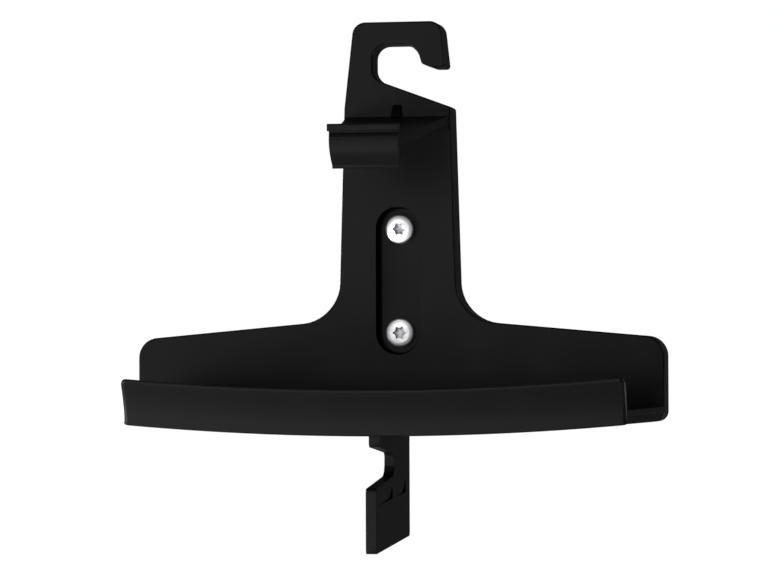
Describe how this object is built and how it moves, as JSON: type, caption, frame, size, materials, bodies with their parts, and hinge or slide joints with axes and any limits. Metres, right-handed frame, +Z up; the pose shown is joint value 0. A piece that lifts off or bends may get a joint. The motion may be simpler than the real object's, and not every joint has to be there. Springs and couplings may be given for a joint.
{
  "type": "charger mounting bracket",
  "caption": "Moulded wall bracket for a battery charger: a plate with a hanging hook and a snap clip above a tray, a cable fin below, and two pan-head screws.",
  "frame": {"origin": "on the wall plane, midway between the two screws, at the centre of the seat that rests on the wall", "axes": "+X to the right seen from the front, +Y into the wall, +Z up; the front faces -Y"},
  "size_m": [0.175, 0.0889, 0.1719],
  "materials": {
    "body": "fine satin moulding texture",
    "screws": "bright zinc plating"
  },
  "bodies": {
    "root": {"bracket_body": "body", "mounting_screws": "screws"}
  },
  "joints": []
}
